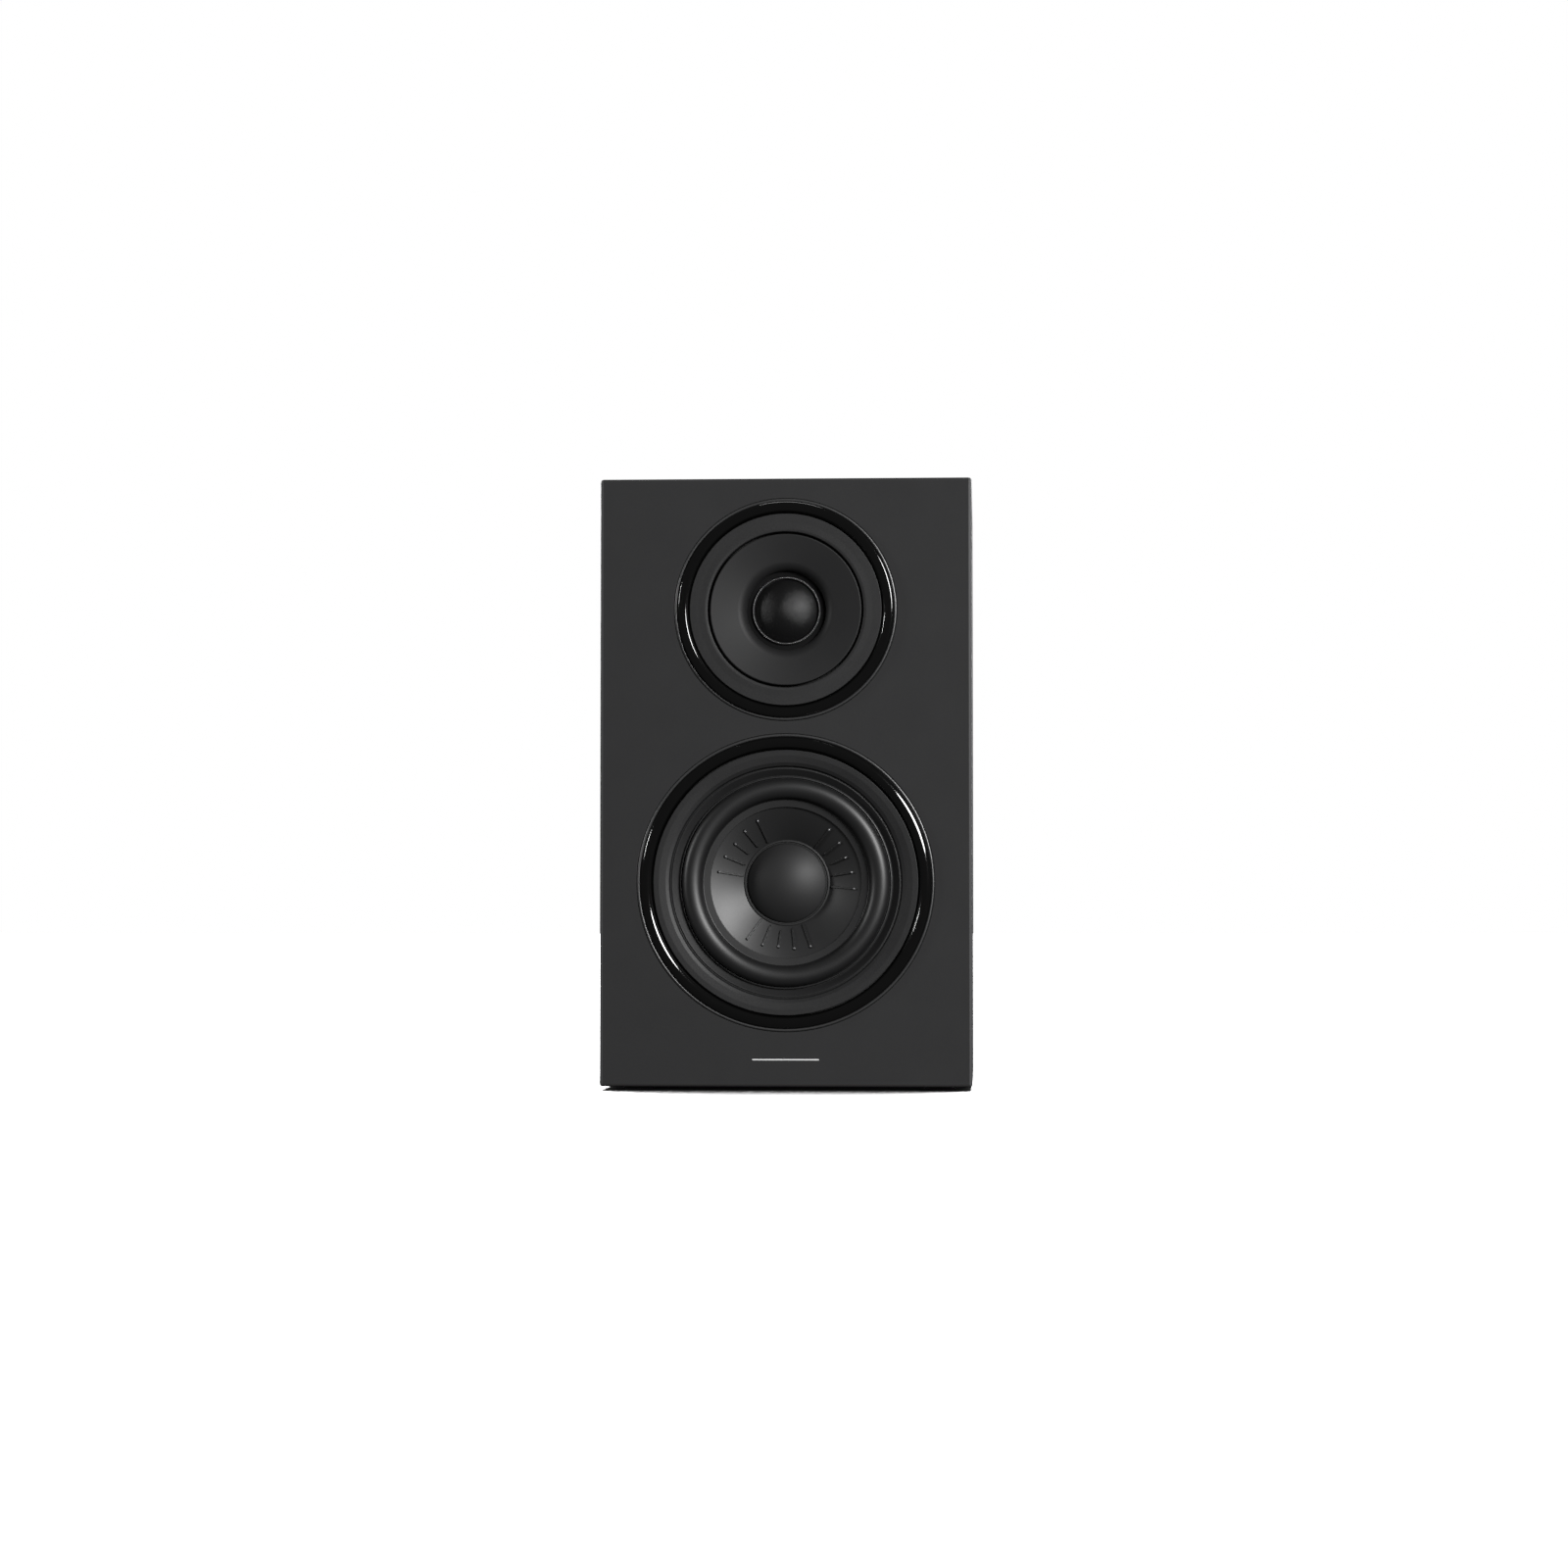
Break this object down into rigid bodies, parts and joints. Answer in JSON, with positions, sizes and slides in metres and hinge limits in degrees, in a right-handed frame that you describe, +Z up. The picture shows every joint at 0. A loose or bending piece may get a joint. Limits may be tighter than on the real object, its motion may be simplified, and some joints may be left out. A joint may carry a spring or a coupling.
{
  "type": "bookshelf speaker",
  "caption": "Small two-way rear-ported bookshelf speaker with a soft-dome tweeter in a shallow dish, a rubber-surround woofer, gloss trim rings and screw-down binding posts.",
  "frame": {"origin": "middle of the whole object's footprint, on the surface that its feet stand on", "axes": "+Z up; -Y out of the front baffle; +X to the right of someone facing the front"},
  "size_m": [0.145, 0.178, 0.2385],
  "materials": {
    "charcoal_finish": "fine matt charcoal vinyl over MDF",
    "black_oak_wrap": "black oak vinyl wrap over MDF",
    "mdf_board": "bare MDF",
    "gloss_black_plastic": "polished black",
    "matt_black_plastic": "fine moulded texture, black",
    "coated_cone": "satin black coating",
    "black_rubber": "soft satin black",
    "coated_cloth": "black textile with a damping coat",
    "impregnated_cloth": "stiffened amber cloth",
    "enamelled_copper": "enamelled copper wire",
    "plated_steel": "zinc plated",
    "ferrite": "ground dark grey",
    "gold_plated_brass": "gold plated",
    "blackened_steel": "black oxide",
    "red_plastic": "translucent red",
    "black_plastic": "gloss black",
    "hardboard": "pressed fibre board",
    "cable_sleeve": "satin black PVC",
    "copper_braid": "braided copper",
    "capacitor_film": "amber film wrap",
    "polyester_fleece": "loose white fleece"
  },
  "bodies": {
    "cabinet": {"front_baffle": "charcoal_finish", "rear_panel": "black_oak_wrap", "left_side_panel": "black_oak_wrap", "right_side_panel": "black_oak_wrap", "top_panel": "black_oak_wrap", "bottom_panel": "black_oak_wrap", "cabinet_brace": "mdf_board", "foot_front_left": "black_rubber", "foot_front_right": "black_rubber", "foot_rear_left": "black_rubber", "foot_rear_right": "black_rubber", "tweeter_trim_ring": "gloss_black_plastic", "tweeter_faceplate": "matt_black_plastic", "tweeter_waveguide": "matt_black_plastic", "tweeter_surround": "coated_cloth", "tweeter_top_plate": "plated_steel", "tweeter_magnet": "ferrite", "tweeter_yoke": "plated_steel", "tweeter_screw_1": "blackened_steel", "tweeter_screw_2": "blackened_steel", "tweeter_screw_3": "blackened_steel", "woofer_trim_ring": "gloss_black_plastic", "woofer_basket": "matt_black_plastic", "woofer_surround": "black_rubber", "woofer_spider": "impregnated_cloth", "woofer_top_plate": "plated_steel", "woofer_magnet": "ferrite", "woofer_yoke": "plated_steel", "woofer_tag_board": "hardboard", "tinsel_lead_left": "copper_braid", "tinsel_lead_right": "copper_braid", "woofer_screw_1": "blackened_steel", "woofer_screw_2": "blackened_steel", "woofer_screw_3": "blackened_steel", "woofer_screw_4": "blackened_steel", "port_tube": "matt_black_plastic", "terminal_cup": "matt_black_plastic", "terminal_screw_1": "blackened_steel", "terminal_screw_2": "blackened_steel", "terminal_screw_3": "blackened_steel", "terminal_screw_4": "blackened_steel", "red_post_stem": "gold_plated_brass", "black_post_stem": "gold_plated_brass", "crossover_board": "hardboard", "woofer_inductor": "enamelled_copper", "tweeter_inductor": "enamelled_copper", "tweeter_capacitor": "capacitor_film", "input_cable": "cable_sleeve", "woofer_cable": "cable_sleeve", "tweeter_cable": "cable_sleeve", "damping_wadding": "polyester_fleece"},
    "woofer_moving": {"woofer_cone": "coated_cone", "woofer_dust_cap": "coated_cone", "woofer_voice_coil": "enamelled_copper"},
    "tweeter_moving": {"tweeter_dome": "coated_cloth", "tweeter_voice_coil": "enamelled_copper"},
    "red_washer": {"red_post_washer": "gold_plated_brass"},
    "red_knob": {"red_post_knob": "red_plastic"},
    "black_washer": {"black_post_washer": "gold_plated_brass"},
    "black_knob": {"black_post_knob": "black_plastic"}
  },
  "joints": [
    {"name": "woofer_stroke", "type": "slide", "parent": "cabinet", "child": "woofer_moving", "axis": [0, -1, 0], "range_m": [-0.004, 0.004], "stiffness_N_per_m": 1200, "deforming": ["woofer_surround", "woofer_spider", "tinsel_lead_left", "tinsel_lead_right"]},
    {"name": "tweeter_stroke", "type": "slide", "parent": "cabinet", "child": "tweeter_moving", "axis": [0, -1, 0], "range_m": [-0.0005, 0.0005], "stiffness_N_per_m": 1500, "deforming": ["tweeter_surround"]},
    {"name": "red_washer_travel", "type": "slide", "parent": "cabinet", "child": "red_washer", "axis": [0, 1, 0], "range_m": [0, 0.005]},
    {"name": "red_knob_turn", "type": "hinge", "parent": "red_washer", "child": "red_knob", "pos_m": [-0.0095, 0.081, 0.0715], "axis": [0, 1, 0], "range_deg": [0, 1800]},
    {"name": "black_washer_travel", "type": "slide", "parent": "cabinet", "child": "black_washer", "axis": [0, 1, 0], "range_m": [0, 0.005]},
    {"name": "black_knob_turn", "type": "hinge", "parent": "black_washer", "child": "black_knob", "pos_m": [0.0095, 0.081, 0.0715], "axis": [0, 1, 0], "range_deg": [0, 1800]}
  ],
  "couplings": [
    {"joint": "red_knob_turn", "follows": "red_washer_travel", "rad_per_m": 6283.2},
    {"joint": "black_knob_turn", "follows": "black_washer_travel", "rad_per_m": 6283.2}
  ]
}
